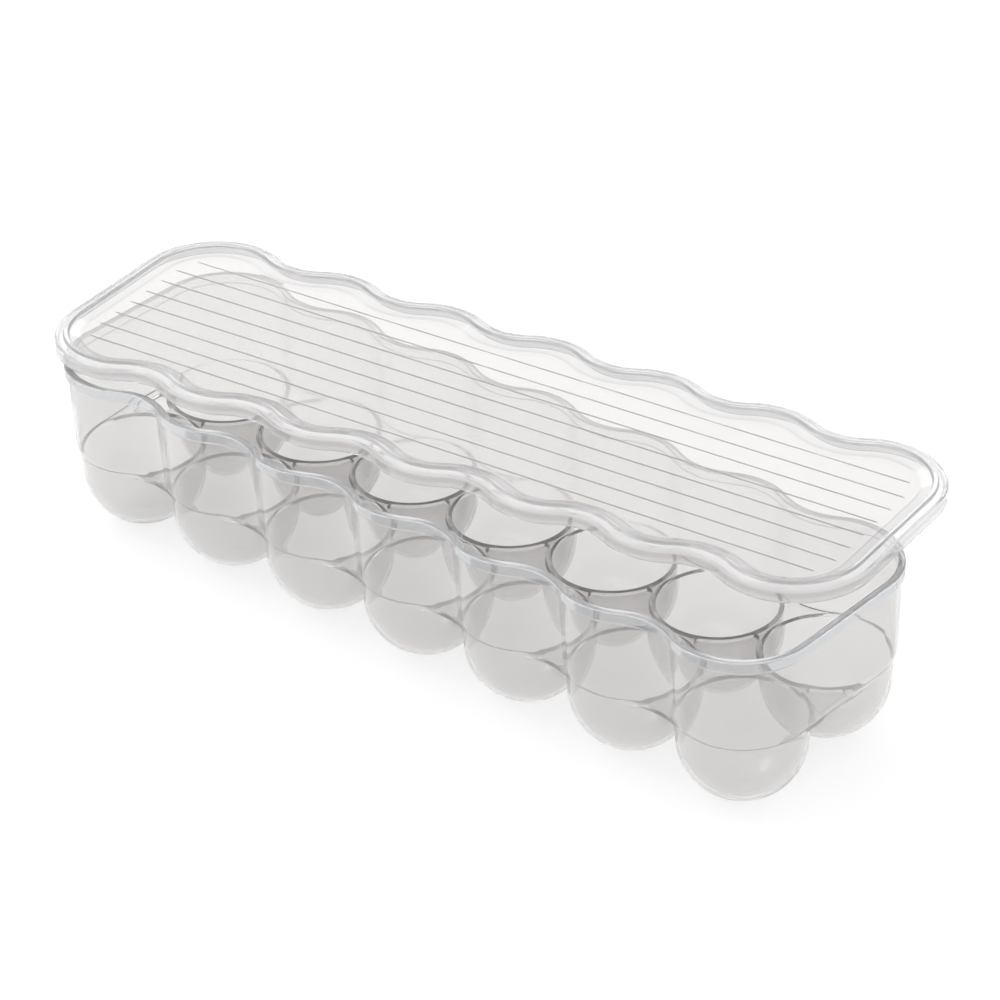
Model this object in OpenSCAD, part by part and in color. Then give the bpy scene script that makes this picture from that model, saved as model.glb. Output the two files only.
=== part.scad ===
// Lidded egg holder for fourteen eggs: a clear moulded tray and a clear lift-off lid.
// The tray is one moulding and the lid is another. Each is drawn here as the regions it is made of,
// which meet face to face. Lengths are in millimetres. X runs along the rows of cups, Y across them,
// Z up. The origin is at the middle of the tray, level with the feet of the cups.

/* [Cups] */
// Distance from cup to cup along a row
cup_pitch = 51.5; // [51:0.5:54]
// Distance between the two rows
row_gap = 51; // [51:0.5:54]
// Outer radius of a cup's round bottom
cup_r = 24.75; // [22:0.25:25]
// Outer radius of a cup where it meets the deck
cup_top_r = 25.4; // [25:0.05:25.45]
// Radius of the flat foot under each cup
foot_r = 5; // [3:0.5:8]
// Wall thickness of the whole tray
wall = 1.6; // [1.2:0.1:2]

/* [Tray] */
// Height of the deck that joins the cups
deck_top = 34.7; // [32:0.1:38]
// Thickness of the deck
deck_thick = 2; // [1.6:0.1:3]
// Depth of the pockets between the cups
pocket_deep = 0.8; // [0.4:0.1:1]
// Radius of the outer wall about each cup's axis
wall_r = 26.85; // [26:0.05:28]
// Radius about a cup's axis plus the radius of the hollow between two lobes
lobe_sum = 55; // [50:1:65]
// Height of the whole tray
tray_high = 74.7; // [60:0.1:85]
// Outer radius of the rim about each cup's axis
rim_r = 28.7; // [28:0.1:30]
// Width of the rim, seen from above
rim_wide = 3; // [2:0.1:4]
// Height of the rim
rim_high = 4.5; // [3:0.1:6]

/* [Lid] */
// Outer radius of the lid about each cup's axis
lid_r = 31.9; // [31:0.1:34]
// Wall thickness of the lid
lid_wall = 1.6; // [1.2:0.1:2]
// Height of the skirt that drops over the tray's rim
skirt_high = 4.4; // [3:0.1:6]
// Radius of the stacking ridge about each cup's axis
ridge_r = 28; // [27:0.1:29]
// Width of the stacking ridge
ridge_wide = 2; // [1.5:0.1:3]
// Height of the stacking ridge
ridge_high = 1; // [0.5:0.1:2]
// Radius of the flat panel about each cup's axis
panel_r = 20.5; // [18:0.5:23]
// How far the panel lies below the flange
panel_drop = 2; // [1:0.1:2.4]
// Number of fine ribs on the panel
rib_count = 8; // [2:1:10]
// Distance from rib to rib
rib_pitch = 10.2; // [6:0.1:11]
// Width of a rib
rib_wide = 0.8; // [0.6:0.1:1.5]
// Height of a rib
rib_high = 0.5; // [0.3:0.1:1]

/* [Resting place of the lid] */
// How far the lid lies along the tray
lid_shift_x = -12.2; // [-20:0.1:20]
// How far the lid lies across the tray
lid_shift_y = 26; // [0:0.1:30]
// Angle by which the lid is turned
lid_turn = 6.8; // [0:0.1:10]
// Gap between the skirt and the rim that it lies on
lid_gap = 0.2; // [0.1:0.1:0.5]

/* [Hidden] */
$fn = 64;
big = 1000;
// Each row has seven cups, as the list of cups below says
cups_per_row = 7;
last = cups_per_row - 1;
half_row = last * cup_pitch / 2;
half_gap = row_gap / 2;
deck_under = deck_top - deck_thick;
cup_mid = sqrt(pow(cup_r, 2) - pow(foot_r, 2));
cup_in_r = cup_r - wall;
hole_r = cup_top_r - wall;
rim_under = tray_high - rim_high;
pocket_border = 2.4;
pocket_tip_gap = 6;
pocket_reach = row_gap / 2 - pocket_tip_gap;
lid_z = tray_high + lid_gap;
flange_in_r = ridge_r - ridge_wide;
flange_top = skirt_high + lid_wall;
panel_under = skirt_high - panel_drop;
rib_cut = 3;
// Overlap that makes lobes and hollows cross instead of only touching
cross = 0.01;
// Angle at which a lobe turns into the hollow beside it, and that hollow's distance from the row
turn_angle = asin(cup_pitch / 2 / lobe_sum);
hollow_y = lobe_sum * cos(turn_angle);
arc_steps = 20;
end_steps = 28;
clear_plastic = [0.86, 0.87, 0.88, 0.45];
clear_lid = [0.82, 0.84, 0.86, 0.45];

CUPS = [
    "cup_front_1", "cup_front_2", "cup_front_3", "cup_front_4", "cup_front_5", "cup_front_6", "cup_front_7",
    "cup_back_1", "cup_back_2", "cup_back_3", "cup_back_4", "cup_back_5", "cup_back_6", "cup_back_7"
];

function cup_x(i) = i * cup_pitch - half_row;

// Both rows of cup places, for what repeats at each cup
module at_cups() {
    for (i = [0:last], side = [-1, 1])
        translate([cup_x(i), side * half_gap]) children();
}

// Plan outline: a lobe of radius r about every cup, with a rounded hollow between two lobes
module outline(r) {
    square([2 * (half_row + r), row_gap], center = true);
    at_cups() circle(r);
    for (i = [0:last - 1], side = [-1, 1])
        translate([cup_x(i) + cup_pitch / 2, 0]) scale([1, side]) hollow_fill(r);
}

// Fills the notch between two lobes up to the round hollow, for the side at +Y
module hollow_fill(r) {
    meet_x = cup_pitch / 2 - (r - cross / 2) * sin(turn_angle);
    meet_y = half_gap + (r - cross / 2) * cos(turn_angle);
    difference() {
        polygon([[-cup_pitch / 2, 0], [cup_pitch / 2, 0], [meet_x, meet_y], [-meet_x, meet_y]]);
        translate([0, half_gap + hollow_y]) circle(lobe_sum - r + cross);
    }
}

// The part of a ring that lies on one side: front and back along the rows, left and right round the ends
module on_side(side) {
    intersection() {
        children();
        if (side == "front") translate([0, -big / 2]) square([2 * half_row, big], center = true);
        if (side == "back") translate([0, big / 2]) square([2 * half_row, big], center = true);
        if (side == "left") translate([-half_row - big / 2, 0]) square(big, center = true);
        if (side == "right") translate([half_row + big / 2, 0]) square(big, center = true);
    }
}

// One side of an upright ring that follows the outline
module ring_side(side, outer_r, inner_r, z, high) {
    translate([0, 0, z]) linear_extrude(high) on_side(side) difference() {
        outline(outer_r);
        outline(inner_r);
    }
}

// Half section of a cup's neck, which opens a little on its way up to the deck
module neck(low_r, top_r) {
    polygon([[0, cup_mid], [low_r, cup_mid], [top_r, deck_under], [0, deck_under]]);
}

module cup_profile() {
    intersection() {
        difference() {
            union() {
                translate([0, cup_mid]) circle(cup_r);
                neck(cup_r, cup_top_r);
            }
            translate([0, cup_mid]) circle(cup_in_r);
            neck(cup_in_r, hole_r);
        }
        square([big, deck_under]);
    }
}

// One egg cup: a hemisphere with a flat foot, and a short neck up to the deck
module cup(i, side) {
    color(clear_plastic) translate([cup_x(i), side * half_gap, 0]) rotate_extrude() cup_profile();
}

// The star between four cups, or the half star at an end, that is let into the deck
module pocket(i) {
    intersection() {
        translate([cup_x(i) + cup_pitch / 2, 0]) square([cup_pitch, 2 * pocket_reach], center = true);
        difference() {
            square([2 * (half_row + wall_r - wall - pocket_border), row_gap], center = true);
            at_cups() circle(hole_r + pocket_border);
        }
    }
}

module deck() {
    color(clear_plastic) difference() {
        translate([0, 0, deck_under]) linear_extrude(deck_thick) difference() {
            outline(wall_r);
            at_cups() circle(hole_r);
        }
        translate([0, 0, deck_top - pocket_deep]) linear_extrude(wall) for (i = [-1:last]) pocket(i);
    }
}

module wall_side(side) {
    color(clear_plastic) ring_side(side, wall_r, wall_r - wall, deck_top, rim_under - deck_top);
}

module rim_side(side) {
    color(clear_plastic) ring_side(side, rim_r, rim_r - rim_wide, rim_under, rim_high);
}

// Puts a piece of the lid where the lid lies on the tray
module lid_place() {
    color(clear_lid) translate([lid_shift_x, lid_shift_y, lid_z]) rotate([0, 0, lid_turn]) children();
}

module lid_panel() {
    lid_place() translate([0, 0, panel_under]) linear_extrude(lid_wall) outline(panel_r);
}

// Fine ribs along the panel, each cut short where the outline comes in
module lid_ribs() {
    lid_place() translate([0, 0, panel_under + lid_wall]) linear_extrude(rib_high) intersection() {
        outline(panel_r - rib_cut);
        for (i = [0:rib_count - 1])
            translate([0, (i - (rib_count - 1) / 2) * rib_pitch])
                square([2 * (half_row + panel_r), rib_wide], center = true);
    }
}

// Stations along a stretch of the outline: [centre x, centre y, direction x, direction y, sign of r]
// A lobe is followed about its cup's axis, and a hollow about its own centre
function lobe(i, side, a, b, n) = [
    for (k = [0:n]) let (t = a + (b - a) * k / n)
        [cup_x(i), side * half_gap, sin(t), side * cos(t), 1]
];
function hollow(i, side, n) = [
    for (k = [1:n - 1]) let (t = -turn_angle + 2 * turn_angle * k / n)
        [cup_x(i) + cup_pitch / 2, side * (half_gap + hollow_y), sin(t), -side * cos(t), -1]
];
function long_side(side) = [
    for (i = [0:last]) each concat(
        lobe(i, side, i == 0 ? 0 : -turn_angle, i == last ? 0 : turn_angle, arc_steps),
        i < last ? hollow(i, side, arc_steps) : [])
];
// The end at +X, from the front row to the back row
function right_end() = concat(
    lobe(last, -1, 0, 90, end_steps),
    lobe(last, 1, 90, 0, end_steps)
);
function at_station(s, r) =
    let (reach = s[4] > 0 ? r : lobe_sum - r + cross) [s[0] + s[2] * reach, s[1] + s[3] * reach];

// A closed profile of [r, z] points swept along stations, with a flat cap at each end
module sweep(stations, profile) {
    n = len(profile);
    m = len(stations);
    points = [for (s = stations, p = profile) let (q = at_station(s, p[0])) [q[0], q[1], p[1]]];
    sides = [
        for (i = [0:m - 2], j = [0:n - 1]) let (k = (j + 1) % n, a = i * n, b = a + n)
            each [[a + j, a + k, b + k], [a + j, b + k, b + j]]
    ];
    polyhedron(points, concat(sides, [[for (j = [n - 1:-1:0]) j]], [[for (j = [0:n - 1]) (m - 1) * n + j]]));
}

// Section of the slope from the flange down to the panel
shoulder_profile = [
    [panel_r, panel_under], [panel_r, panel_under + lid_wall],
    [flange_in_r, flange_top], [flange_in_r, skirt_high]
];
module shoulder_side(side) {
    lid_place() {
        if (side == "back") sweep(long_side(1), shoulder_profile);
        if (side == "front") rotate([0, 0, 180]) sweep(long_side(1), shoulder_profile);
        if (side == "right") rotate([0, 0, 180]) mirror([1, 0, 0]) sweep(right_end(), shoulder_profile);
        if (side == "left") mirror([1, 0, 0]) sweep(right_end(), shoulder_profile);
    }
}

// Flange, stacking ridge and skirt along one side of the lid
module lid_edge_side(side) {
    lid_place() {
        ring_side(side, lid_r, lid_r - lid_wall, 0, skirt_high);
        ring_side(side, lid_r, flange_in_r, skirt_high, lid_wall);
        ring_side(side, ridge_r, flange_in_r, flange_top, ridge_high);
    }
}

for (i = [0:len(CUPS) - 1]) cup(i % cups_per_row, i < cups_per_row ? -1 : 1);
deck();
wall_side("front");  // wall_front
wall_side("back");  // wall_back
wall_side("left");  // wall_left
wall_side("right");  // wall_right
rim_side("front");  // rim_front
rim_side("back");  // rim_back
rim_side("left");  // rim_left
rim_side("right");  // rim_right
lid_panel();
lid_ribs();
shoulder_side("front");  // lid_shoulder_front
shoulder_side("back");  // lid_shoulder_back
shoulder_side("left");  // lid_shoulder_left
shoulder_side("right");  // lid_shoulder_right
lid_edge_side("front");  // lid_edge_front
lid_edge_side("back");  // lid_edge_back
lid_edge_side("left");  // lid_edge_left
lid_edge_side("right");  // lid_edge_right
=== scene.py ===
import math
from collections import namedtuple

import bmesh
import bpy
import numpy as np
from mathutils import Matrix, Vector
from mathutils.geometry import delaunay_2d_cdt


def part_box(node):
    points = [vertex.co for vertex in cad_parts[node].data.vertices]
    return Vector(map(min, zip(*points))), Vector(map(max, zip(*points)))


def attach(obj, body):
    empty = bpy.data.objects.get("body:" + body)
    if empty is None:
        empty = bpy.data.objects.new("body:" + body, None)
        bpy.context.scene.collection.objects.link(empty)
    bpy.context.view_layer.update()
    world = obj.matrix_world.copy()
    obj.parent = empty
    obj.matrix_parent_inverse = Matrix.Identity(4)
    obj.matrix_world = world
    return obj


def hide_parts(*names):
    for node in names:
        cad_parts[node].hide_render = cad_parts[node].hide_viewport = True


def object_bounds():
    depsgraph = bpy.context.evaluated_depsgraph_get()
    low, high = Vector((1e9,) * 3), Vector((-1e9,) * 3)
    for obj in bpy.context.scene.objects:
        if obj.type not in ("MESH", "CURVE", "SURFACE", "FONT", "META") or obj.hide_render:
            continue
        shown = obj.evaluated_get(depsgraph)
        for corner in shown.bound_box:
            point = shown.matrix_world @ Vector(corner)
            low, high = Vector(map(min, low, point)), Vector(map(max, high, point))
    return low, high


# Lidded egg holder for fourteen eggs: a clear moulded tray with two rows of cups, and a clear
# lift-off lid that lies askew on its rim. The object has two mouldings, so it has two pieces here,
# each one closed mesh. Sections are drawn in millimetres and scaled to metres when a mesh is made.
# A section is a list of (reach, height): reach is the distance out from a cup's axis, and at the
# hollows and the straight ends the same section runs on parallel to the wavy outline.

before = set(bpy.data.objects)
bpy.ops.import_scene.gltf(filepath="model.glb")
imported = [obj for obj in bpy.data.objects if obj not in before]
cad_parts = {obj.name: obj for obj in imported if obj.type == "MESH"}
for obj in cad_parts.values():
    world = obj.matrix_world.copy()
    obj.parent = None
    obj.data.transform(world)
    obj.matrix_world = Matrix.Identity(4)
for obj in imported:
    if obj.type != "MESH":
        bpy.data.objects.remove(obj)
cad_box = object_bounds()

MM = 0.001


# ---------------------------------------------------------------- places, from the frame

def box_mm(node):
    low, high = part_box(node)
    return low / MM, high / MM


def middle(node):
    low, high = box_mm(node)
    return (low + high) / 2


CUPS_PER_ROW = sum(name.startswith("cup_front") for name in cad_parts)
FIRST_CUP = middle("cup_front_1")
LAST_CUP = middle(f"cup_front_{CUPS_PER_ROW}")
HALF_ROW = (LAST_CUP.x - FIRST_CUP.x) / 2
HALF_GAP = (middle("cup_back_1").y - FIRST_CUP.y) / 2
CUP_PITCH = 2 * HALF_ROW / (CUPS_PER_ROW - 1)
DECK_UNDER = box_mm("deck")[0].z
DECK_TOP = box_mm("deck")[1].z
RIM_UNDER = box_mm("rim_front")[0].z
RIM_TOP = box_mm("rim_front")[1].z
RIM_R = box_mm("rim_right")[1].x - HALF_ROW
LID_MIDDLE = middle("lid_panel")
LID_UNDER = box_mm("lid_edge_front")[0].z
LID_TURN = math.radians(6.8)

# ---------------------------------------------------------------- the wavy outline

# One step round a cup. A lobe turns into the hollow beside it five steps from its middle.
CUP_STEPS = 64
STEP = 2 * math.pi / CUP_STEPS
LOBE_STEPS = 5
TURN = LOBE_STEPS * STEP
# Distance from a cup's axis to the middle of the round hollow beside its lobe
LOBE_SUM = CUP_PITCH / 2 / math.sin(TURN)
FRONT = 1.5 * math.pi

# A stretch of an outline: it bulges out (bend 1) or is hollowed in (bend -1) about a centre
Arc = namedtuple("Arc", "x y radius bend start end")


def cup_x(column):
    return column * CUP_PITCH - HALF_ROW


def half_turn(arc):
    return arc._replace(x=-arc.x, y=-arc.y, start=arc.start + math.pi, end=arc.end + math.pi)


def wavy_outline():
    """Arcs anticlockwise round the tray, with the end lobes run on to where the straight ends start."""
    last = CUPS_PER_ROW - 1
    hollow_y = -HALF_GAP - LOBE_SUM * math.cos(TURN)
    front = []
    for column in range(CUPS_PER_ROW):
        start = math.pi if column == 0 else FRONT - TURN
        end = 2 * math.pi if column == last else FRONT + TURN
        front.append(Arc(cup_x(column), -HALF_GAP, 0, 1, start, end))
        if column < last:
            middle_x = cup_x(column) + CUP_PITCH / 2
            start, end = math.pi / 2 + TURN, math.pi / 2 - TURN
            front.append(Arc(middle_x, hollow_y, LOBE_SUM, -1, start, end))
    return front + [half_turn(arc) for arc in front]


def along(arcs, grow=0.0, step=STEP):
    """Points along a ring of arcs, moved outwards by grow. Hollows leave their ends to their neighbours."""
    points = []
    for arc in arcs:
        count = max(2, round(abs(arc.end - arc.start) / step))
        reach = arc.radius + arc.bend * grow
        ends = range(count + 1) if arc.bend > 0 else range(1, count)
        for k in ends:
            angle = arc.start + (arc.end - arc.start) * k / count
            points.append((arc.x + reach * math.cos(angle), arc.y + reach * math.sin(angle)))
    return points


def circle_points(x, y, radius):
    angles = [k * STEP for k in range(CUP_STEPS)]
    return [(x + radius * math.cos(angle), y + radius * math.sin(angle)) for angle in angles]


def cup_places():
    return [(cup_x(column), side * HALF_GAP) for side in (-1, 1) for column in range(CUPS_PER_ROW)]


OUTLINE = wavy_outline()

# ---------------------------------------------------------------- sections

CORNER_STEPS = 5


def rounded(corners):
    """A section from corners (reach, height, cut): each corner with a cut becomes a smooth bend."""
    points = []
    for k, (reach, height, cut) in enumerate(corners):
        here = Vector((reach, height))
        if cut == 0:
            points.append(tuple(here))
            continue
        before, after = (Vector(corners[k + step][:2]) for step in (-1, 1))
        start = here + (before - here).normalized() * cut
        end = here + (after - here).normalized() * cut
        for n in range(CORNER_STEPS + 1):
            t = n / CORNER_STEPS
            points.append(tuple(start * (1 - t) ** 2 + here * 2 * t * (1 - t) + end * t ** 2))
    return points


def bowl(radius, centre, start, end, count):
    """Points down or up a round cup bottom: angles are below the level of its centre."""
    angles = [start + (end - start) * k / count for k in range(count + 1)]
    return [(radius * math.cos(angle), centre - radius * math.sin(angle)) for angle in angles]


# ---------------------------------------------------------------- closed shells

class Shell:
    """Collects the surfaces of one moulding, and welds them where they share an edge."""

    def __init__(self):
        self.points = []
        self.faces = []

    def row(self, points, height):
        start = len(self.points)
        self.points += [(x * MM, y * MM, height * MM) for x, y in points]
        return range(start, len(self.points))

    def strip(self, rows):
        """Surface through rings of points; it faces outwards where the rings climb."""
        for low, high in zip(rows, rows[1:]):
            for k in range(len(low)):
                n = (k + 1) % len(low)
                self.faces.append((low[k], low[n], high[n], high[k]))

    def sweep(self, arcs, section):
        self.strip([self.row(along(arcs, reach), height) for reach, height in section])

    def flat(self, outer, holes, height, faces_up):
        """Level surface inside one ring of points and outside the others."""
        loops = [outer] + holes
        points, edges = [], []
        for loop in loops:
            start = len(points)
            points += [Vector(p) for p in loop]
            edges += [(start + k, start + (k + 1) % len(loop)) for k in range(len(loop))]
        found, _, triangles, *_ = delaunay_2d_cdt(points, edges, [], 0, 1e-5)
        places = np.array([tuple(p) for p in found])
        triangles = np.array(triangles)
        middles = places[triangles].mean(axis=1)
        kept = inside(middles, outer)
        for hole in holes:
            kept &= ~inside(middles, hole)
        start = self.row(places.tolist(), height)[0]
        for a, b, c in (triangles[kept] + start).tolist():
            self.faces.append((a, b, c) if faces_up else (a, c, b))

    def add(self, mesh):
        start = len(self.points)
        self.points += [tuple(v.co) for v in mesh.vertices]
        self.faces += [tuple(start + k for k in face.vertices) for face in mesh.polygons]

    def mesh(self, name, weld=0.01 * MM):
        made = bpy.data.meshes.new(name)
        made.from_pydata(self.points, [], self.faces)
        work = bmesh.new()
        work.from_mesh(made)
        bmesh.ops.remove_doubles(work, verts=work.verts, dist=weld)
        work.to_mesh(made)
        work.free()
        return made


def inside(points, loop):
    """Which points lie inside a closed ring of points, by counting the sides to their right."""
    a = np.array(loop)
    b = np.roll(a, -1, axis=0)
    x, y = points[:, :1], points[:, 1:]
    spans = (a[:, 1] > y) != (b[:, 1] > y)
    rise = np.where(a[:, 1] == b[:, 1], 1, b[:, 1] - a[:, 1])
    cross_x = a[:, 0] + (y - a[:, 1]) * (b[:, 0] - a[:, 0]) / rise
    return (np.sum(spans & (cross_x > x), axis=1) % 2).astype(bool)


def new_object(name, mesh):
    made = bpy.data.objects.new(name, mesh)
    bpy.context.scene.collection.objects.link(made)
    return made


def settle(piece):
    """Applies a piece's modifiers to its mesh."""
    graph = bpy.context.evaluated_depsgraph_get()
    mesh = bpy.data.meshes.new_from_object(piece.evaluated_get(graph))
    piece.modifiers.clear()
    old = piece.data
    piece.data = mesh
    mesh.name = piece.name
    if old.users == 0:
        bpy.data.meshes.remove(old)
    return piece


def smooth(piece, angle=38):
    """Smooth shading with crisp edges, led by the large faces beside the small ones."""
    piece.data.shade_smooth()
    piece.data.set_sharp_from_angle(angle=math.radians(angle))
    modifier = piece.modifiers.new("even_shading", "WEIGHTED_NORMAL")
    modifier.keep_sharp = True
    return settle(piece)


# ---------------------------------------------------------------- the tray

HOLE_R = 23.6
HOLE_EDGE_R = HOLE_R + 0.9
CUP_TOP_R = 25.4
CUP_OUT_R = 24.75
CUP_WALL = 1.6
FOOT_R = 5
CUP_CENTRE = math.sqrt(CUP_OUT_R ** 2 - FOOT_R ** 2)
WALL_FOOT_R = 24.65

# From the neck of the cups up the outside of the wall, over the rim and down the inside to the deck
WALL_SECTION = rounded([
    (CUP_TOP_R, DECK_UNDER, 0),
    (CUP_TOP_R + 0.15, DECK_UNDER + 1.6, 1.3),
    (RIM_R - 2.15, DECK_UNDER + 4.6, 1.6),
    (RIM_R - 1.75, DECK_UNDER + 16, 0),
    (RIM_R - 1.55, RIM_UNDER - 12, 0),
    (RIM_R - 1.4, RIM_UNDER - 0.2, 1.3),
    (RIM_R, RIM_UNDER, 0.35),
    (RIM_R, RIM_TOP, 0.7),
    (RIM_R - 3, RIM_TOP, 0.7),
    (RIM_R - 3.25, RIM_UNDER - 12, 0),
    (RIM_R - 3.4, DECK_UNDER + 16, 0),
    (RIM_R - 3.6, DECK_TOP, 0.4),
    (WALL_FOOT_R, DECK_TOP, 0),
])
CUP_INSIDE = rounded([
    (HOLE_EDGE_R, DECK_TOP, 0),
    (HOLE_R, DECK_TOP, 0.8),
    (HOLE_R - 0.12, DECK_TOP - 4, 0),
]) + bowl(CUP_OUT_R - CUP_WALL, CUP_CENTRE, 0, math.radians(87), 20)
CUP_OUTSIDE = [(1.5, 0)] + rounded([
    (FOOT_R - 1.4, 0, 0),
    (FOOT_R, 0, 0.9),
    (FOOT_R + 4, CUP_CENTRE - math.sqrt(CUP_OUT_R ** 2 - (FOOT_R + 4) ** 2), 0),
]) + bowl(CUP_OUT_R, CUP_CENTRE, math.acos((FOOT_R + 6) / CUP_OUT_R), 0, 18) + [(CUP_TOP_R, DECK_UNDER)]

# Star-shaped pockets in the deck: their hollow sides run parallel to the holes
POCKET_BORDER = 2.3
POCKET_TIP_R = 1.9
POCKET_SIDE_R = HOLE_R + POCKET_BORDER
POCKET_DEEP = 1.5
POCKET_FLOOR = 1.1
POCKET_END = 21.6
BOSS_OUT = 0.2
POCKET_STEP = STEP * 1.5


def star_pocket(x):
    """Arcs round the pocket between four cups: a hollow side to each cup and a round tip in each gap."""
    reach = POCKET_SIDE_R + POCKET_TIP_R
    tip_x = CUP_PITCH / 2 - math.sqrt(reach ** 2 - HALF_GAP ** 2)
    tip_y = HALF_GAP - math.sqrt(reach ** 2 - (CUP_PITCH / 2) ** 2)
    to_tip_x = math.atan2(HALF_GAP, CUP_PITCH / 2 - tip_x)
    to_tip_y = math.atan2(HALF_GAP - tip_y, CUP_PITCH / 2)
    quarter = [
        Arc(x + tip_x, 0, POCKET_TIP_R, 1, -to_tip_x, to_tip_x),
        Arc(x + CUP_PITCH / 2, HALF_GAP, POCKET_SIDE_R, -1, math.pi + to_tip_x, math.pi + to_tip_y),
        Arc(x, tip_y, POCKET_TIP_R, 1, to_tip_y, math.pi - to_tip_y),
        Arc(x - CUP_PITCH / 2, HALF_GAP, POCKET_SIDE_R, -1, -to_tip_y, -to_tip_x),
    ]
    return quarter + [half_turn(arc)._replace(x=2 * x - arc.x) for arc in quarter]


def end_pocket():
    """Arcs round the half star at the right end: two hollow sides and a straight one."""
    reach = POCKET_SIDE_R + POCKET_TIP_R
    tip = math.sqrt(reach ** 2 - HALF_GAP ** 2)
    corner = POCKET_END - POCKET_TIP_R
    corner_y = HALF_GAP - math.sqrt(reach ** 2 - corner ** 2)
    to_tip = math.atan2(HALF_GAP, tip)
    to_corner = math.atan2(HALF_GAP - corner_y, corner)
    return [
        Arc(HALF_ROW + corner, corner_y, POCKET_TIP_R, 1, 0, math.pi - to_corner),
        Arc(HALF_ROW, HALF_GAP, POCKET_SIDE_R, -1, -to_corner, -to_tip),
        Arc(HALF_ROW + tip, 0, POCKET_TIP_R, 1, math.pi - to_tip, math.pi + to_tip),
        Arc(HALF_ROW, -HALF_GAP, POCKET_SIDE_R, -1, to_tip, to_corner),
        Arc(HALF_ROW + corner, -corner_y, POCKET_TIP_R, 1, math.pi + to_corner, 2 * math.pi),
    ]


def pockets():
    stars = [star_pocket(cup_x(column) + CUP_PITCH / 2) for column in range(CUPS_PER_ROW - 1)]
    return stars + [end_pocket(), [half_turn(arc) for arc in end_pocket()]]


def cup_shell():
    """The inside and the outside of one cup about its own axis, still open at its top edges."""
    shell = Shell()
    for section, tip in ((CUP_INSIDE, CUP_CENTRE - CUP_OUT_R + CUP_WALL), (CUP_OUTSIDE, 0)):
        rows = [shell.row(circle_points(0, 0, reach), height) for reach, height in section]
        shell.strip(rows)
        centre = shell.row([(0, 0)], tip)[0]
        last, turn = (rows[-1], 1) if section is CUP_INSIDE else (rows[0], -1)
        for k in range(CUP_STEPS):
            side = (last[k], last[(k + 1) % CUP_STEPS])[::turn]
            shell.faces.append((*side, centre))
    return shell.mesh("cup_shell")


def cup_rows():
    """Stands the cup at every place of both rows, with Geometry Nodes, and gives all of them as a mesh."""
    tree = bpy.data.node_groups.new("cup_rows", "GeometryNodeTree")
    face = tree.interface
    face.new_socket("Cup", in_out="INPUT", socket_type="NodeSocketGeometry")
    sizes = {
        "Row Length": (2 * HALF_ROW * MM, "NodeSocketFloat"),
        "Row Gap": (2 * HALF_GAP * MM, "NodeSocketFloat"),
        "Cups per Row": (CUPS_PER_ROW, "NodeSocketInt"),
    }
    sockets = {
        name: face.new_socket(name, in_out="INPUT", socket_type=kind)
        for name, (_, kind) in sizes.items()
    }
    face.new_socket("Cups", in_out="OUTPUT", socket_type="NodeSocketGeometry")
    nodes, links = tree.nodes, tree.links
    given, result = nodes.new("NodeGroupInput"), nodes.new("NodeGroupOutput")
    grid = nodes.new("GeometryNodeMeshGrid")
    grid.inputs["Vertices Y"].default_value = 2
    place = nodes.new("GeometryNodeInstanceOnPoints")
    realize = nodes.new("GeometryNodeRealizeInstances")
    links.new(given.outputs["Row Length"], grid.inputs["Size X"])
    links.new(given.outputs["Row Gap"], grid.inputs["Size Y"])
    links.new(given.outputs["Cups per Row"], grid.inputs["Vertices X"])
    links.new(grid.outputs["Mesh"], place.inputs["Points"])
    links.new(given.outputs["Cup"], place.inputs["Instance"])
    links.new(place.outputs["Instances"], realize.inputs["Geometry"])
    finish_tree(tree, realize.outputs["Geometry"], result.inputs["Cups"], CLEAR_TRAY)
    cups = new_object("cup_rows", cup_shell())
    run_tree(cups, tree, {sockets[name].identifier: value for name, (value, _) in sizes.items()})
    mesh = cups.data
    bpy.data.objects.remove(cups)
    return mesh


def finish_tree(tree, geometry, output, material):
    paint = tree.nodes.new("GeometryNodeSetMaterial")
    paint.inputs["Material"].default_value = material
    tree.links.new(geometry, paint.inputs["Geometry"])
    tree.links.new(paint.outputs["Geometry"], output)


def run_tree(piece, tree, values):
    modifier = piece.modifiers.new(tree.name, "NODES")
    modifier.node_group = tree
    for identifier, value in values.items():
        modifier[identifier] = value
    settle(piece)


def tray():
    shell = Shell()
    shell.sweep(OUTLINE, WALL_SECTION)
    shell.add(cup_rows())
    top_holes = [circle_points(x, y, HOLE_EDGE_R) for x, y in cup_places()]
    under_holes = [circle_points(x, y, CUP_TOP_R) for x, y in cup_places()]
    dip = DECK_TOP - POCKET_DEEP
    pocket_section = rounded([
        (0.35, DECK_TOP, 0), (0, DECK_TOP, 0.3), (-0.15, dip, 0.5), (-1, dip, 0),
    ])
    boss_under = dip - POCKET_FLOOR
    boss_section = rounded([
        (-1.3, boss_under, 0), (BOSS_OUT - 0.1, boss_under, 0.5), (BOSS_OUT, DECK_UNDER, 0),
    ])
    for arcs in pockets():
        for section in (pocket_section, boss_section):
            rings = [(along(arcs, grow, POCKET_STEP), height) for grow, height in section]
            shell.strip([shell.row(ring, height) for ring, height in rings])
        shell.flat(along(arcs, pocket_section[-1][0], POCKET_STEP), [], dip, True)
        shell.flat(along(arcs, boss_section[0][0], POCKET_STEP), [], boss_under, False)
        top_holes.append(along(arcs, pocket_section[0][0], POCKET_STEP))
        under_holes.append(along(arcs, boss_section[-1][0], POCKET_STEP))
    shell.flat(along(OUTLINE, WALL_FOOT_R), top_holes, DECK_TOP, True)
    shell.flat(along(OUTLINE, CUP_TOP_R), under_holes, DECK_UNDER, False)
    made = new_object("tray_moulding", shell.mesh("tray_moulding"))
    made.data.materials.append(CLEAR_TRAY)
    return smooth(made)


# ---------------------------------------------------------------- the lid

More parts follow.
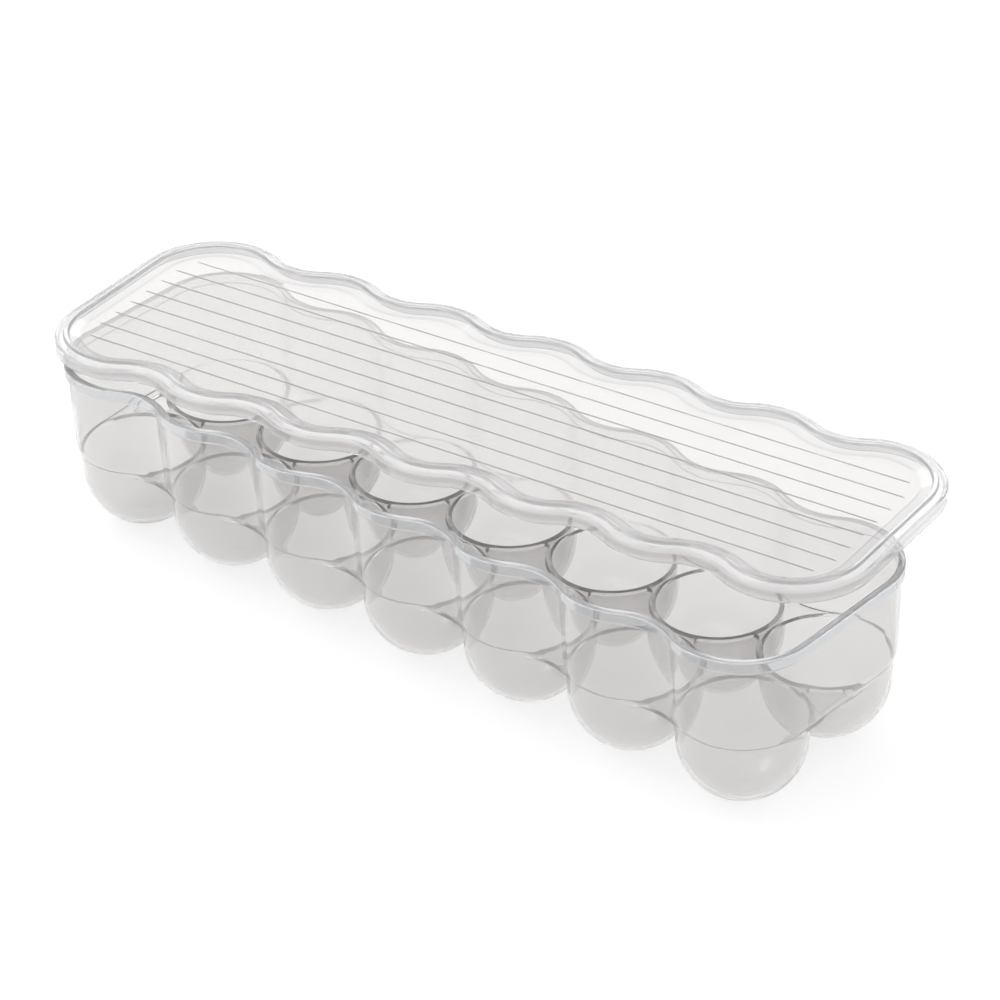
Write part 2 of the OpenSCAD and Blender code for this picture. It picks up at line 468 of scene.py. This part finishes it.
LID_R = 31.9
PANEL_R = 20.5
PANEL_TOP = 4.0
SHOULDER_UNDER = 4.4
SHOULDER_TOP = 6.0
RIDGE_TOP = 7.0
SKIRT_IN_R = 30.35
LID_WALL = 1.6
# From the panel's underside out to the skirt, down inside it, up outside it and back over the ridge
LID_SECTION = rounded([
    (PANEL_R - 0.8, PANEL_TOP - LID_WALL, 0),
    (PANEL_R, PANEL_TOP - LID_WALL, 0.7),
    (26.4, SHOULDER_UNDER, 0.8),
    (SKIRT_IN_R - 0.05, SHOULDER_UNDER - 0.1, 0.7),
    (SKIRT_IN_R, 0, 0.4),
    (LID_R, 0, 0.5),
    (LID_R, SHOULDER_TOP - 0.3, 1.1),
    (28.3, SHOULDER_TOP, 0.3),
    (27.9, RIDGE_TOP, 0.4),
    (26.3, RIDGE_TOP, 0.4),
    (25.8, SHOULDER_TOP, 0.4),
    (PANEL_R + 0.2, PANEL_TOP, 0.9),
    (PANEL_R - 0.8, PANEL_TOP, 0),
])
RIBS = 8
RIB_PITCH = 10.2
RIB_WIDE = 0.7
RIB_HIGH = 0.32
RIB_BURIED = 0.3
RIB_REACH = PANEL_R - 3
RIB_STEPS = 6
# How far along a rib, and how full its section is there
RIB_TAPER = ((-1.0, 0.45), (-0.996, 0.85), (-0.99, 1.0), (0.99, 1.0), (0.996, 0.85), (1.0, 0.45))
RIB_WELD = 1e-7


def rib_bar():
    """A low bar with a round top and tapered ends, one metre each way along X."""
    half = RIB_WIDE / 2
    section = [(-half, -RIB_BURIED), (half, -RIB_BURIED), (half, 0)]
    angles = [math.pi * k / RIB_STEPS for k in range(1, RIB_STEPS)]
    section += [(half * math.cos(angle), RIB_HIGH * math.sin(angle)) for angle in angles]
    section += [(-half, 0)]
    shell = Shell()
    rows = []
    for x, size in RIB_TAPER:
        start = len(shell.points)
        shell.points += [(x, y * size * MM, (z * size if z > 0 else z) * MM) for y, z in section]
        rows.append(range(start, len(shell.points)))
    shell.strip(rows)
    shell.faces += [tuple(rows[0])[::-1], tuple(rows[-1])]
    return shell.mesh("rib_bar", RIB_WELD)


def ribs():
    """Fine ribs along the panel, with Geometry Nodes: the outer ones end sooner, at the round corners."""
    tree = bpy.data.node_groups.new("panel_ribs", "GeometryNodeTree")
    face = tree.interface
    face.new_socket("Rib", in_out="INPUT", socket_type="NodeSocketGeometry")
    sizes = {
        "Count": RIBS,
        "Pitch": RIB_PITCH * MM,
        "Half Row": HALF_ROW * MM,
        "Half Gap": HALF_GAP * MM,
        "Reach": RIB_REACH * MM,
    }
    sockets = {}
    for name in sizes:
        kind = "NodeSocketInt" if name == "Count" else "NodeSocketFloat"
        sockets[name] = face.new_socket(name, in_out="INPUT", socket_type=kind)
    face.new_socket("Ribs", in_out="OUTPUT", socket_type="NodeSocketGeometry")
    nodes, links = tree.nodes, tree.links
    given, result = nodes.new("NodeGroupInput"), nodes.new("NodeGroupOutput")

    def sum_of(operation, *values):
        node = nodes.new("ShaderNodeMath")
        node.operation = operation
        for socket, value in zip(node.inputs, values):
            if isinstance(value, (int, float)):
                socket.default_value = value
            else:
                links.new(value, socket)
        return node.outputs["Value"]

    steps = sum_of("SUBTRACT", given.outputs["Count"], 1.0)
    first = sum_of("MULTIPLY", sum_of("MULTIPLY", steps, -0.5), given.outputs["Pitch"])
    index = nodes.new("GeometryNodeInputIndex")
    line_y = sum_of("ADD", first, sum_of("MULTIPLY", index.outputs["Index"], given.outputs["Pitch"]))
    off_axis = sum_of("SUBTRACT", sum_of("ABSOLUTE", line_y), given.outputs["Half Gap"])
    past_axis = sum_of("MAXIMUM", off_axis, 0.0)
    reach_squared = sum_of("POWER", given.outputs["Reach"], 2.0)
    corner = sum_of("SUBTRACT", reach_squared, sum_of("POWER", past_axis, 2.0))
    half_length = sum_of("ADD", given.outputs["Half Row"], sum_of("SQRT", corner))
    line = nodes.new("GeometryNodeMeshLine")
    links.new(given.outputs["Count"], line.inputs["Count"])
    place_y = nodes.new("ShaderNodeCombineXYZ")
    links.new(line_y, place_y.inputs["Y"])
    spread = nodes.new("GeometryNodeSetPosition")
    links.new(line.outputs["Mesh"], spread.inputs["Geometry"])
    links.new(place_y.outputs["Vector"], spread.inputs["Position"])
    size = nodes.new("ShaderNodeCombineXYZ")
    size.inputs["Y"].default_value = 1.0
    size.inputs["Z"].default_value = 1.0
    links.new(half_length, size.inputs["X"])
    place = nodes.new("GeometryNodeInstanceOnPoints")
    links.new(spread.outputs["Geometry"], place.inputs["Points"])
    links.new(given.outputs["Rib"], place.inputs["Instance"])
    links.new(size.outputs["Vector"], place.inputs["Scale"])
    realize = nodes.new("GeometryNodeRealizeInstances")
    links.new(place.outputs["Instances"], realize.inputs["Geometry"])
    finish_tree(tree, realize.outputs["Geometry"], result.inputs["Ribs"], CLEAR_LID)
    made = new_object("panel_ribs", rib_bar())
    run_tree(made, tree, {sockets[name].identifier: value for name, value in sizes.items()})
    made.data.transform(Matrix.Translation((0, 0, PANEL_TOP * MM)))
    return made


def lid():
    shell = Shell()
    shell.sweep(OUTLINE, LID_SECTION)
    edge = along(OUTLINE, PANEL_R - 0.8)
    shell.flat(edge, [], PANEL_TOP, True)
    shell.flat(edge, [], PANEL_TOP - LID_WALL, False)
    made = new_object("lid_moulding", shell.mesh("lid_moulding"))
    made.data.materials.append(CLEAR_LID)
    bars = ribs()
    join = made.modifiers.new("join_ribs", "BOOLEAN")
    join.operation = "UNION"
    join.solver = "MANIFOLD"
    join.object = bars
    settle(made)
    bpy.data.objects.remove(bars)
    place = Matrix.Translation(Vector((LID_MIDDLE.x, LID_MIDDLE.y, LID_UNDER)) * MM)
    made.data.transform(place @ Matrix.Rotation(LID_TURN, 4, "Z"))
    return smooth(made)


# ---------------------------------------------------------------- clear plastic

def moulding_flow():
    """Clear moulded plastic: slow waves in the surface, faint clouds, light scuffs, and a second colour
    away from the thin height, for a rim or an edge."""
    tree = bpy.data.node_groups.new("moulding_flow", "ShaderNodeTree")
    face = tree.interface
    inputs = {
        "Colour": ((0.9, 0.9, 0.9, 1), "NodeSocketColor"),
        "Cloud Colour": ((0.9, 0.9, 0.9, 1), "NodeSocketColor"),
        "Smooth": (0.02, "NodeSocketFloat"),
        "Scuffed": (0.1, "NodeSocketFloat"),
        "Wave Length": (0.03, "NodeSocketFloat"),
        "Wave Height": (0.1, "NodeSocketFloat"),
        "Thick Colour": ((0.8, 0.82, 0.85, 1), "NodeSocketColor"),
        "Thin Height": (0.0, "NodeSocketFloat"),
        "Thick From": (0.0, "NodeSocketFloat"),
        "Thick To": (1.0, "NodeSocketFloat"),
    }
    for name, (value, kind) in inputs.items():
        face.new_socket(name, in_out="INPUT", socket_type=kind).default_value = value
    face.new_socket("Colour", in_out="OUTPUT", socket_type="NodeSocketColor")
    face.new_socket("Roughness", in_out="OUTPUT", socket_type="NodeSocketFloat")
    face.new_socket("Normal", in_out="OUTPUT", socket_type="NodeSocketVector")
    nodes, links = tree.nodes, tree.links
    given, result = nodes.new("NodeGroupInput"), nodes.new("NodeGroupOutput")
    where = nodes.new("ShaderNodeTexCoord")
    scale = nodes.new("ShaderNodeMath")
    scale.operation = "DIVIDE"
    scale.inputs[0].default_value = 1.0
    links.new(given.outputs["Wave Length"], scale.inputs[1])
    waves = nodes.new("ShaderNodeTexNoise")
    waves.inputs["Detail"].default_value = 1.0
    links.new(where.outputs["Object"], waves.inputs["Vector"])
    links.new(scale.outputs["Value"], waves.inputs["Scale"])
    bump = nodes.new("ShaderNodeBump")
    bump.inputs["Distance"].default_value = 0.001
    links.new(given.outputs["Wave Height"], bump.inputs["Strength"])
    links.new(waves.outputs["Fac"], bump.inputs["Height"])
    clouds = nodes.new("ShaderNodeTexNoise")
    clouds.inputs["Scale"].default_value = 14.0
    clouds.inputs["Detail"].default_value = 3.0
    links.new(where.outputs["Object"], clouds.inputs["Vector"])
    tint = nodes.new("ShaderNodeMix")
    tint.data_type = "RGBA"
    links.new(clouds.outputs["Fac"], tint.inputs["Factor"])
    links.new(given.outputs["Colour"], tint.inputs["A"])
    links.new(given.outputs["Cloud Colour"], tint.inputs["B"])
    scuffs = nodes.new("ShaderNodeTexNoise")
    scuffs.inputs["Scale"].default_value = 220.0
    scuffs.inputs["Detail"].default_value = 4.0
    links.new(where.outputs["Object"], scuffs.inputs["Vector"])
    rough = nodes.new("ShaderNodeMapRange")
    rough.inputs["From Min"].default_value = 0.45
    rough.inputs["From Max"].default_value = 0.8
    links.new(scuffs.outputs["Fac"], rough.inputs["Value"])
    links.new(given.outputs["Smooth"], rough.inputs["To Min"])
    links.new(given.outputs["Scuffed"], rough.inputs["To Max"])
    height = nodes.new("ShaderNodeSeparateXYZ")
    links.new(where.outputs["Object"], height.inputs["Vector"])
    above = nodes.new("ShaderNodeMath")
    above.operation = "SUBTRACT"
    links.new(height.outputs["Z"], above.inputs[0])
    links.new(given.outputs["Thin Height"], above.inputs[1])
    apart = nodes.new("ShaderNodeMath")
    apart.operation = "ABSOLUTE"
    links.new(above.outputs["Value"], apart.inputs[0])
    thick = nodes.new("ShaderNodeMapRange")
    thick.interpolation_type = "SMOOTHSTEP"
    links.new(apart.outputs["Value"], thick.inputs["Value"])
    links.new(given.outputs["Thick From"], thick.inputs["From Min"])
    links.new(given.outputs["Thick To"], thick.inputs["From Max"])
    shade = nodes.new("ShaderNodeMix")
    shade.data_type = "RGBA"
    links.new(thick.outputs["Result"], shade.inputs["Factor"])
    links.new(tint.outputs["Result"], shade.inputs["A"])
    links.new(given.outputs["Thick Colour"], shade.inputs["B"])
    links.new(shade.outputs["Result"], result.inputs["Colour"])
    links.new(rough.outputs["Result"], result.inputs["Roughness"])
    links.new(bump.outputs["Normal"], result.inputs["Normal"])
    return tree


FLOW = moulding_flow()


def clear_plastic(name, transmission, ior, values):
    material = bpy.data.materials.new(name)
    material.use_nodes = True
    nodes, links = material.node_tree.nodes, material.node_tree.links
    shader = nodes["Principled BSDF"]
    shader.inputs["Transmission Weight"].default_value = transmission
    shader.inputs["IOR"].default_value = ior
    flow = nodes.new("ShaderNodeGroup")
    flow.node_tree = FLOW
    for socket, value in values.items():
        flow.inputs[socket].default_value = value
    links.new(flow.outputs["Colour"], shader.inputs["Base Color"])
    links.new(flow.outputs["Roughness"], shader.inputs["Roughness"])
    links.new(flow.outputs["Normal"], shader.inputs["Normal"])
    return material


CLEAR_TRAY = clear_plastic("clear_tray", 0.88, 1.49, {
    "Colour": (0.92, 0.91, 0.905, 1),
    "Cloud Colour": (0.89, 0.88, 0.873, 1),
    "Smooth": 0.015,
    "Scuffed": 0.07,
    "Wave Length": 0.035,
    "Wave Height": 0.35,
    "Thick Colour": (0.85, 0.865, 0.885, 1),
    "Thick From": (RIM_UNDER - 2) * MM,
    "Thick To": RIM_UNDER * MM,
})
CLEAR_LID = clear_plastic("clear_lid", 0.74, 1.49, {
    "Colour": (0.86, 0.842, 0.83, 1),
    "Cloud Colour": (0.83, 0.813, 0.8, 1),
    "Smooth": 0.03,
    "Scuffed": 0.12,
    "Wave Length": 0.05,
    "Wave Height": 0.25,
    "Thick Colour": (0.96, 0.96, 0.965, 1),
    "Thin Height": (LID_UNDER + PANEL_TOP - LID_WALL / 2) * MM,
    "Thick From": (LID_WALL / 2 + 0.1) * MM,
    "Thick To": (LID_WALL / 2 + 0.7) * MM,
})


# ---------------------------------------------------------------- floor, light and camera

FLOOR_HALF = 6.0
FLOOR_GAP = 0.0001


def floor():
    """A pale floor that glows a little, so that shadows on it stay faint."""
    level = cad_box[0].z - FLOOR_GAP
    corners = [(x * FLOOR_HALF, y * FLOOR_HALF, level) for x, y in ((-1, -1), (1, -1), (1, 1), (-1, 1))]
    mesh = bpy.data.meshes.new("floor")
    mesh.from_pydata(corners, [], [(0, 1, 2, 3)])
    made = new_object("floor", mesh)
    material = bpy.data.materials.new("pale_floor")
    material.use_nodes = True
    shader = material.node_tree.nodes["Principled BSDF"]
    shader.inputs["Base Color"].default_value = (0.35, 0.35, 0.35, 1)
    shader.inputs["Roughness"].default_value = 0.8
    shader.inputs["Specular IOR Level"].default_value = 0.1
    shader.inputs["Emission Color"].default_value = (1, 1, 1, 1)
    shader.inputs["Emission Strength"].default_value = 0.74
    mesh.materials.append(material)


def softbox(name, place, aim, width, height, power):
    light = bpy.data.lights.new(name, "AREA")
    light.shape = "RECTANGLE"
    light.size, light.size_y = width, height
    light.energy = power
    made = bpy.data.objects.new(name, light)
    made.location = place
    made.rotation_euler = (Vector(aim) - Vector(place)).to_track_quat("-Z", "Y").to_euler()
    bpy.context.scene.collection.objects.link(made)


def studio_light():
    """Pale surroundings, brighter overhead than at the horizon, and two large soft boxes."""
    world = bpy.data.worlds.new("studio")
    bpy.context.scene.world = world
    world.use_nodes = True
    nodes, links = world.node_tree.nodes, world.node_tree.links
    where = nodes.new("ShaderNodeTexCoord")
    split = nodes.new("ShaderNodeSeparateXYZ")
    ramp = nodes.new("ShaderNodeValToRGB")
    horizon, overhead = ramp.color_ramp.elements
    horizon.position, horizon.color = 0.05, (0.62, 0.62, 0.63, 1)
    overhead.position, overhead.color = 0.75, (0.95, 0.95, 0.95, 1)
    links.new(where.outputs["Generated"], split.inputs["Vector"])
    links.new(split.outputs["Z"], ramp.inputs["Fac"])
    links.new(ramp.outputs["Color"], nodes["Background"].inputs["Color"])
    aim = (0, 0, 0.05)
    softbox("key_light", (-1.2, -0.6, 1.8), aim, 1.4, 1.0, 8)
    softbox("back_light", (-1.38, 1.55, 1.4), aim, 2.2, 1.0, 8)


def camera():
    """Looks down on the front right corner, from a little over a metre and a half away."""
    azimuth, elevation, roll = (math.radians(a) for a in (41.708, 31.929, -1.975))
    distance = 1.6133
    aim = Vector((0.0038, 0.0146, 0.0476))
    back = Vector((
        math.sin(azimuth) * math.cos(elevation),
        -math.cos(azimuth) * math.cos(elevation),
        math.sin(elevation),
    ))
    right = Vector((math.cos(azimuth), math.sin(azimuth), 0))
    up = back.cross(right)
    turned_right = right * math.cos(roll) + up * math.sin(roll)
    turned_up = up * math.cos(roll) - right * math.sin(roll)
    lens = bpy.data.cameras.new("camera")
    lens.sensor_width = 36
    lens.lens = 148.81
    lens.clip_start, lens.clip_end = 0.1, 40
    made = bpy.data.objects.new("camera", lens)
    turn = Matrix((turned_right, turned_up, back)).transposed().to_4x4()
    made.matrix_world = Matrix.Translation(aim + back * distance) @ turn
    bpy.context.scene.collection.objects.link(made)
    bpy.context.scene.camera = made


camera()
studio_light()
floor()

scene = bpy.context.scene
scene.view_settings.view_transform = "Standard"
scene.cycles.max_bounces = 18
scene.cycles.transmission_bounces = 18
scene.cycles.glossy_bounces = 18

TRAY_NODES = [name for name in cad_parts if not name.startswith("lid_")]
LID_NODES = [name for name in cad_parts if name.startswith("lid_")]
for piece, body, slot, nodes in (
    (tray(), "tray", "clear_tray", TRAY_NODES),
    (lid(), "lid", "clear_lid", LID_NODES),
):
    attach(piece, body)
    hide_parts(*nodes)
